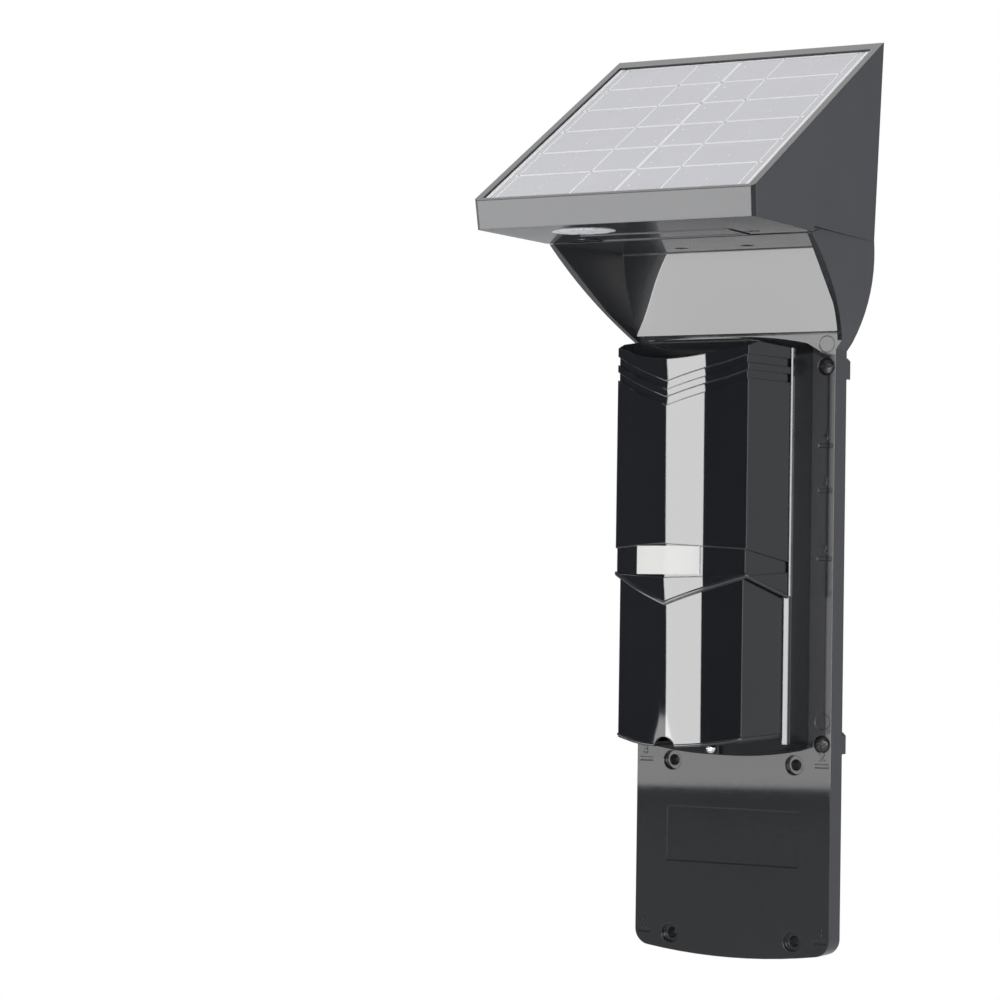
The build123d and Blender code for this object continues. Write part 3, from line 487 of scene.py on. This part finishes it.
SLOPE_RISE, SLOPE_RUN = 86.5, 145.0
SLOPE = math.atan2(SLOPE_RISE, SLOPE_RUN)
SLOPE_ALONG = Vector((0.0, math.cos(SLOPE), math.sin(SLOPE)))
SLOPE_UP = Vector((0.0, -math.sin(SLOPE), math.cos(SLOPE)))
SLOPE_ORIGIN = mm(0.0, -137.2, 360.1)

# printed sheet laid on the glass, so that its lines stay crisp
SHEET_TOP = -0.85
SHEET_LOW = SHEET_TOP - 0.06
LINE_LOW = SHEET_TOP - 0.05
CELL_ROWS = 6
FIRST_ROW = 3.2
ROW_PITCH = 26.0
LAST_ROW = FIRST_ROW + CELL_ROWS * ROW_PITCH
# upright lines of the grid, as (place across, half of the line's width)
COLUMN_LINES = ((0.0, 0.85), (-23.5, 0.5), (23.5, 0.5), (-62.3, 0.45), (62.3, 0.45))
COLUMN_EDGES = sorted(x for x, half in COLUMN_LINES)
ROW_HALF_LINE = 0.75
ROW_LINE_REACH = 64.3
CELL_GAP = 0.2
# thin printed bar with contact dots, and the dots beside the centre line
BAR_X, BAR_HALF = 43.0, 0.1
DOT_RADIUS, SMALL_DOT_RADIUS = 0.55, 0.25
CENTRE_DOT_X = 4.6
CENTRE_DOT_STEPS = (0.27, 0.73)
# margins outside the cells
INNER_MARGIN = (62.7, 65.5)
OUTER_MARGIN = (65.6, 68.1)
SHEET_START, SHEET_END = 3.0, 160.6
REAR_MARGIN_REACH = 68.0


def on_slope(x, s, up):
    across = Vector((x / 1000.0, 0, 0))
    return SLOPE_ORIGIN + across + SLOPE_ALONG * (s / 1000.0) + SLOPE_UP * (up / 1000.0)


def slope_ring(bm, ring, low, high):
    slab(bm, [on_slope(x, s, low) for x, s in ring], [on_slope(x, s, high) for x, s in ring])


def slope_tile(bm, x0, x1, s0, s1, low, high):
    slope_ring(bm, [(x0, s0), (x1, s0), (x1, s1), (x0, s1)], low, high)


def slope_dot(bm, x, s, radius):
    sides = 10
    turns = [2 * math.pi * i / sides for i in range(sides)]
    ring = [(x + radius * math.cos(a), s + radius * math.sin(a)) for a in turns]
    slope_ring(bm, ring, LINE_LOW, SHEET_TOP + 0.012)


def make_cell_row(cells, lines, s0):
    for x0, x1 in zip(COLUMN_EDGES, COLUMN_EDGES[1:]):
        slope_tile(cells, x0 + CELL_GAP, x1 - CELL_GAP, s0 + CELL_GAP, s0 + ROW_PITCH - CELL_GAP,
                   SHEET_LOW, SHEET_TOP)
    for side in (-1, 1):
        bar = side * BAR_X
        for k in range(4):
            radius = DOT_RADIUS if k == 1 else SMALL_DOT_RADIUS
            slope_dot(lines, bar, s0 + (k + 0.5) * ROW_PITCH / 4, radius)
        for step in CENTRE_DOT_STEPS:
            slope_dot(lines, side * CENTRE_DOT_X, s0 + step * ROW_PITCH, DOT_RADIUS)
        slope_tile(lines, bar - BAR_HALF, bar + BAR_HALF, s0, s0 + ROW_PITCH,
                   LINE_LOW, SHEET_TOP + 0.01)


def make_cells():
    # pale cells, with the white backing showing as lines between them
    cells = bmesh.new()
    lines = bmesh.new()
    for row in range(CELL_ROWS):
        make_cell_row(cells, lines, FIRST_ROW + row * ROW_PITCH)
    for row in range(CELL_ROWS + 1):
        s = FIRST_ROW + row * ROW_PITCH
        slope_tile(lines, -ROW_LINE_REACH, ROW_LINE_REACH, s - ROW_HALF_LINE, s + ROW_HALF_LINE,
                   LINE_LOW, SHEET_TOP + 0.02)
    for x, half in COLUMN_LINES:
        slope_tile(lines, x - half, x + half, FIRST_ROW, LAST_ROW, LINE_LOW, SHEET_TOP + 0.02)
    for side in (-1, 1):
        a, b = sorted(side * x for x in OUTER_MARGIN)
        slope_tile(lines, a, b, SHEET_START, SHEET_END, SHEET_LOW, SHEET_TOP + 0.01)
        a, b = sorted(side * x for x in INNER_MARGIN)
        slope_tile(cells, a, b, FIRST_ROW - 0.3, LAST_ROW + 1.2, SHEET_LOW, SHEET_TOP - 0.01)
    slope_tile(cells, -REAR_MARGIN_REACH, REAR_MARGIN_REACH, LAST_ROW + 0.5, SHEET_END,
               SHEET_LOW, SHEET_TOP - 0.01)
    finish_mesh("panel_cells", cells, CELL)
    finish_mesh("panel_lines", lines, WHITE)


make_cells()


# fine details on the cover and the base

# plan of the right half of the upper cover, in millimetres, from its nose to its rear edge
NOSE = (0.0, -78.0)
BOW = (16.5, -73.2)
BOW_END = (25.5, -66.9)
CREASE = (34.6, -60.8)
REAR = (39.4, -23.5)


def circle_through(p, q, r):
    ax, ay = p
    bx, by = q
    cx, cy = r
    d = 2 * (ax * (by - cy) + bx * (cy - ay) + cx * (ay - by))
    a, b, c = ax * ax + ay * ay, bx * bx + by * by, cx * cx + cy * cy
    ux = (a * (by - cy) + b * (cy - ay) + c * (ay - by)) / d
    uy = (a * (cx - bx) + b * (ax - cx) + c * (bx - ax)) / d
    return ux, uy, math.hypot(ax - ux, ay - uy)


def straight(p, q, steps):
    return [(p[0] + (q[0] - p[0]) * i / steps, p[1] + (q[1] - p[1]) * i / steps)
            for i in range(1, steps + 1)]


def cover_path():
    # plan of the upper cover from the left rear edge to the right rear edge
    cx, cy, radius = circle_through(NOSE, BOW, BOW_END)
    start, end = (math.atan2(y - cy, x - cx) for x, y in (NOSE, BOW_END))
    steps = 14
    right = []
    for i in range(steps + 1):
        a = start + (end - start) * i / steps
        right.append((cx + radius * math.cos(a), cy + radius * math.sin(a)))
    right += straight(BOW_END, CREASE, 4) + straight(CREASE, REAR, 10)
    left = [(-x, y) for x, y in right[1:]][::-1]
    return left + right


def path_normal(path, i):
    a = path[max(i - 1, 0)]
    b = path[min(i + 1, len(path) - 1)]
    t = Vector((b[0] - a[0], b[1] - a[1])).normalized()
    return Vector((t.y, -t.x))


# height of the overhang's edge at the nose, the crease and the rear, and its section (out, up)
OVERHANG_HEIGHTS = (172.8, 186.4, 176.5)
OVERHANG_SECTION = ((-1.2, 1.9), (0.0, 1.9), (0.22, 1.5), (0.30, 0.9), (0.18, 0.3),
                    (-0.3, -0.05), (-1.2, -0.1))


def overhang_height(x):
    nose, crease, rear = OVERHANG_HEIGHTS
    x = abs(x)
    if x <= CREASE[0]:
        return nose + (crease - nose) * x / CREASE[0]
    return crease + (rear - crease) * (x - CREASE[0]) / (REAR[0] - CREASE[0])


def make_overhang_lip():
    # rounded edge of the upper cover over the stepped-in lower part
    path = cover_path()
    rings = []
    for i, (x, y) in enumerate(path):
        n = path_normal(path, i)
        z = overhang_height(x)
        rings.append([mm(x + n.x * out, y + n.y * out, z + up) for out, up in OVERHANG_SECTION])
    bm = bmesh.new()
    strip_along(bm, rings)
    finish_mesh("cover_overhang_lip", bm, LIP, smooth_angle=50)


LOWER_INSET = 2.2
LOWER_EDGE = 106.0
LOWER_SAG = 4.6
LOWER_HALF_WIDTH = 37.2
NOTCH_HALF_WIDTH = 5.7


def make_lower_lip():
    # rounded rim along the lower end of the cover, open at the wiring notch
    bm = bmesh.new()
    path = cover_path()
    for side in (-1, 1):
        rings = []
        for i, (x, y) in enumerate(path):
            if x * side < NOTCH_HALF_WIDTH:
                continue
            n = path_normal(path, i)
            cx, cy = x - n.x * LOWER_INSET, y - n.y * LOWER_INSET
            z = LOWER_EDGE + LOWER_SAG * (cx / LOWER_HALF_WIDTH) ** 2
            turns = [math.radians(-80 + 27 * k) for k in range(7)]
            section = [(0.34 * math.cos(a), 0.75 + 0.68 * math.sin(a)) for a in turns]
            section += [(-0.9, 1.1), (-0.9, 0.1)]
            rings.append([mm(cx + n.x * out, cy + n.y * out, z + up) for out, up in section])
        strip_along(bm, rings)
    finish_mesh("cover_lower_lip", bm, LIP, smooth_angle=50)


# section of the base's edge beside the cover, below and above the step, as (x, y)
RIM_LOW = ((37.3, -24.25), (39.75, -23.35), (39.9, -20.6), (38.2, -21.5))
RIM_HIGH = ((39.45, -23.55), (40.45, -23.2), (40.3, -20.6), (39.6, -21.0))
RIM_FOOT, RIM_STEP, RIM_TOP = 106.5, 177.5, 297.0


def make_rim_strips():
    # narrow glossy edge of the base that shows beside the cover
    bm = bmesh.new()
    for side in (-1, 1):
        for section, z0, z1 in ((RIM_LOW, RIM_FOOT, RIM_STEP), (RIM_HIGH, RIM_STEP, RIM_TOP)):
            heights = (z0, (z0 + z1) / 2, z1)
            strip_along(bm, [[mm(side * x, y, z) for x, y in section] for z in heights])
    finish_mesh("base_rim_strip", bm, COVER, smooth_angle=20)


def make_hatch_seam():
    # fine raised border round the battery hatch under the housing
    lower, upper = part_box("battery_hatch")
    half, drop, root = 0.00035, 0.0004, 0.00005
    bm = bmesh.new()
    loops = []
    for grow, up in ((half, root), (half * 0.4, -drop), (-half * 0.4, -drop), (-half, root)):
        x0, x1 = lower.x - grow, upper.x + grow
        y0, y1 = lower.y - grow, upper.y + grow
        corners = ((x0, y0), (x1, y0), (x1, y1), (x0, y1))
        loops.append([bm.verts.new((x, y, lower.z + up)) for x, y in corners])
    for ring, following in zip(loops, loops[1:] + loops[:1]):
        wall_between(bm, ring, following)
    finish_mesh("hatch_seam", bm, PLUG)


# gap between the hood's tapered lip and the housing's floor, as (y, z), and its place across
LIP_GAP = ((-68.25, 346.75), (-68.25, 349.48), (-58.2, 349.48))
LIP_FILL_INNER, LIP_FILL_OUTER = 58.0, 69.4


def make_lip_fill():
    # corner blocks that close the gap at both sides
    bm = bmesh.new()
    for x0, x1 in ((-LIP_FILL_OUTER, -LIP_FILL_INNER), (LIP_FILL_INNER, LIP_FILL_OUTER)):
        slab(bm, [mm(x0, y, z) for y, z in LIP_GAP], [mm(x1, y, z) for y, z in LIP_GAP])
    finish_mesh("hood_lip_fill", bm, SHELL)


make_overhang_lip()
make_lower_lip()
make_rim_strips()
make_hatch_seam()
make_lip_fill()


# screw heads, in metres

def domed_head(radius, height, dome):
    rows, sides = 10, 36
    turns = [2 * math.pi * k / sides for k in range(sides)]
    bm = bmesh.new()
    rings = []
    for i in range(rows):
        a = i / rows * math.pi / 2
        r, z = radius * math.cos(a) ** dome, height * math.sin(a)
        rings.append([bm.verts.new((r * math.cos(t), r * math.sin(t), z)) for t in turns])
    tip = bm.verts.new((0, 0, height))
    for ring, following in zip(rings, rings[1:]):
        wall_between(bm, ring, following)
    for k in range(sides):
        bm.faces.new((rings[-1][k], rings[-1][(k + 1) % sides], tip))
    foot = [bm.verts.new((v.co.x, v.co.y, -height * 0.4)) for v in rings[0]]
    wall_between(bm, foot, rings[0])
    bm.faces.new(foot[::-1])
    bmesh.ops.recalc_face_normals(bm, faces=bm.faces)
    return bm


def recess_bars(radius, height, cross):
    # a cross, or a slot right across the head
    long, thin = radius * 0.62, radius * 0.13
    bars = ((long, thin), (thin, long)) if cross else ((radius * 1.1, thin),)
    low, high = height * 0.45, height * 1.5
    bm = bmesh.new()
    for a, b in bars:
        corners = ((-a, -b), (a, -b), (a, b), (-a, b))
        slab(bm, [(x, y, low) for x, y in corners], [(x, y, high) for x, y in corners])
    bmesh.ops.recalc_face_normals(bm, faces=bm.faces)
    return bm


def recessed_head(name, place, axis, size, mat, replaced, cross=True, dome=0.55):
    radius, height = size
    obj = add_object(name, mesh_data(name, domed_head(radius, height, dome)))
    tool = add_object(name + "_tool", mesh_data(name + "_tool", recess_bars(radius, height, cross)))
    mod = obj.modifiers.new("recess", "BOOLEAN")
    mod.operation = "DIFFERENCE"
    mod.solver = "EXACT"
    mod.use_self = True
    mod.object = tool
    graph = bpy.context.evaluated_depsgraph_get()
    made = bpy.data.meshes.new_from_object(obj.evaluated_get(graph))
    obj.modifiers.clear()
    bpy.data.objects.remove(tool)
    turn = Vector(axis).to_track_quat("Z", "Y").to_matrix().to_4x4()
    made.transform(Matrix.Translation(place) @ turn)
    made.materials.clear()
    made.materials.append(mat)
    made.polygons.foreach_set("use_smooth", [True] * len(made.polygons))
    made.set_sharp_from_angle(angle=math.radians(35))
    obj.data = made
    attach(obj, "case")
    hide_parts(replaced)


# radius and height of each kind of head
BAR_HEAD = (0.0041, 0.0017)
COVER_HEAD = (0.0025, 0.0019)
SMALL_HEAD = (0.0028, 0.0012)
FORWARD, DOWN = (0, -1, 0), (0, 0, -1)
# how far the cover screw's head starts behind the screw's foremost point, in metres
COVER_HEAD_DEPTH = 0.0020
# places of the screws on the right, in millimetres
BAR_SCREW_X, BAR_SCREW_Y = 47.5, 0.9
BAR_SCREW_HEIGHTS = (("lower", 106.2), ("upper", 289.3))
UPWARD_SCREWS = (
    ("roof", (17.7, -28.0, 347.6), ("housing_screw_1", "housing_screw_2")),
    ("holder", (45.7, -80.6, 348.2), ("holder_screw_left", "holder_screw_right")),
)


def make_screw_heads():
    sides = (("left", -1), ("right", 1))
    for side, sign in sides:
        for level, z in BAR_SCREW_HEIGHTS:
            recessed_head("rear_bar_head_%s_%s" % (level, side),
                          mm(sign * BAR_SCREW_X, BAR_SCREW_Y, z), FORWARD, BAR_HEAD, PLUG,
                          "bar_screw_%s_%s" % (level, side),
                          cross=(level == "lower"), dome=0.6)
    low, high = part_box("cover_screw")
    place = Vector(((low[0] + high[0]) / 2, low[1] + COVER_HEAD_DEPTH, (low[2] + high[2]) / 2))
    recessed_head("cover_screw_head", place, FORWARD, COVER_HEAD, STEEL,
                  "cover_screw", cross=False)
    for kind, (x, y, z), replaced in UPWARD_SCREWS:
        for (side, sign), screw in zip(sides, replaced):
            recessed_head("%s_screw_head_%s" % (kind, side), mm(sign * x, y, z), DOWN,
                          SMALL_HEAD, PLUG, screw)


make_screw_heads()


# plain moulded numerals beside the height marks, as (height of the mark, numeral)

MARK_X = 47.8
NUMERAL_RISE = 4.4
NUMERAL_SIZE = 0.0062
RIGHT_MARKS = ((250.9, "4"), (229.0, "3"), (196.0, "2"), (95.6, "2"), (10.5, "4"))
LEFT_MARKS = ((95.6, "3"), (10.5, "4"))


def raised_numeral(name, digit, place):
    curve = bpy.data.curves.new(name, "FONT")
    curve.body = digit
    curve.size = NUMERAL_SIZE
    curve.extrude = 0.00035
    curve.align_x = "CENTER"
    curve.align_y = "CENTER"
    curve.resolution_u = 4
    curve.offset = 0.00012
    drawn = add_object(name + "_curve", curve)
    graph = bpy.context.evaluated_depsgraph_get()
    data = bpy.data.meshes.new_from_object(drawn.evaluated_get(graph))
    bpy.data.objects.remove(drawn)
    data.transform(Matrix.Translation(place) @ Matrix.Rotation(math.radians(90), 4, "X"))
    data.materials.clear()
    data.materials.append(SHELL)
    obj = add_object(name, data)
    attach(obj, "case")


for side, sign, marks in (("right", 1, RIGHT_MARKS), ("left", -1, LEFT_MARKS)):
    for i, (z, digit) in enumerate(marks):
        place = mm(sign * MARK_X, 0.0, z + NUMERAL_RISE)
        raised_numeral("height_mark_%s_%d" % (side, i), digit, place)


# crinkled vent membrane, in millimetres

VENT_X, VENT_Y, VENT_Z = -27.5, -111.0, 346.8
VENT_HALF_X, VENT_HALF_Y = 16.0, 10.5


def crinkle(x, y):
    cell = noise.voronoi(Vector((x * 0.28, y * 0.28, 0.3)))[0][0]
    cloud = noise.noise(Vector((x * 0.5, y * 0.5, 2.0)))
    return 0.15 + 0.55 * abs(cell) + 0.25 * cloud


def make_vent():
    bm = bmesh.new()
    rows, sides = 14, 64
    rings = []
    for i in range(1, rows + 1):
        t = i / rows
        fall = min(1.0, (1.0 - t) * 5.0)
        ring = []
        for k in range(sides):
            a = 2 * math.pi * k / sides
            x, y = VENT_X + VENT_HALF_X * t * math.cos(a), VENT_Y + VENT_HALF_Y * t * math.sin(a)
            ring.append(bm.verts.new(mm(x, y, VENT_Z - 0.25 - fall * crinkle(x, y))))
        rings.append(ring)
    tip = bm.verts.new(mm(VENT_X, VENT_Y, VENT_Z - 0.5))
    for k in range(sides):
        bm.faces.new((tip, rings[0][k], rings[0][(k + 1) % sides]))
    edge = [bm.verts.new((v.co.x, v.co.y, mm(0, 0, VENT_Z).z)) for v in rings[-1]]
    rings.append(edge)
    for ring, following in zip(rings, rings[1:]):
        wall_between(bm, ring, following)
    bm.faces.new(edge)
    obj = finish_mesh("vent_membrane", bm, FOIL, smooth_angle=12)
    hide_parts("vent_pad")


make_vent()


# floor, in metres

FLOOR_HALF = 6.0
FLOOR_Z = -0.42
# distance from the object at which the floor starts to turn pure white, and has turned
SHADOW_REACH, WHITE_REACH = 0.6, 1.5


def floor_material():
    # seen by the camera it is white far off, and under the object it keeps the shadow
    mat = bpy.data.materials.new("floor_white")
    mat.use_nodes = True
    nt = mat.node_tree
    nt.nodes.clear()
    matte = node(nt, "ShaderNodeBsdfDiffuse")
    nt.links.new(colour_mix(nt, object_noise(nt, 1.5), (0.80, 0.80, 0.80), (0.84, 0.84, 0.84)),
                 matte.inputs["Color"])
    glow = node(nt, "ShaderNodeEmission")
    glow.inputs["Color"].default_value = (1, 1, 1, 1)
    glow.inputs["Strength"].default_value = 1.0
    coords = node(nt, "ShaderNodeTexCoord")
    reach = node(nt, "ShaderNodeVectorMath", operation="LENGTH")
    nt.links.new(coords.outputs["Object"], reach.inputs[0])
    share = ramp(nt, reach.outputs["Value"], SHADOW_REACH, WHITE_REACH, 0.35, 1.0)
    seen = shader_mix(nt, share, matte.outputs[0], glow.outputs[0])
    out = node(nt, "ShaderNodeOutputMaterial")
    nt.links.new(shader_mix(nt, direct_ray(nt), matte.outputs[0], seen), out.inputs["Surface"])
    return mat


def make_floor():
    bm = bmesh.new()
    for x, y in ((-1, -1), (1, -1), (1, 1), (-1, 1)):
        bm.verts.new((x * FLOOR_HALF, y * FLOOR_HALF, 0.0))
    bm.faces.new(bm.verts[:])
    obj = add_object("floor", mesh_data("floor", bm))
    obj.location = (0.0, -0.08, FLOOR_Z)
    obj.data.materials.append(floor_material())


make_floor()
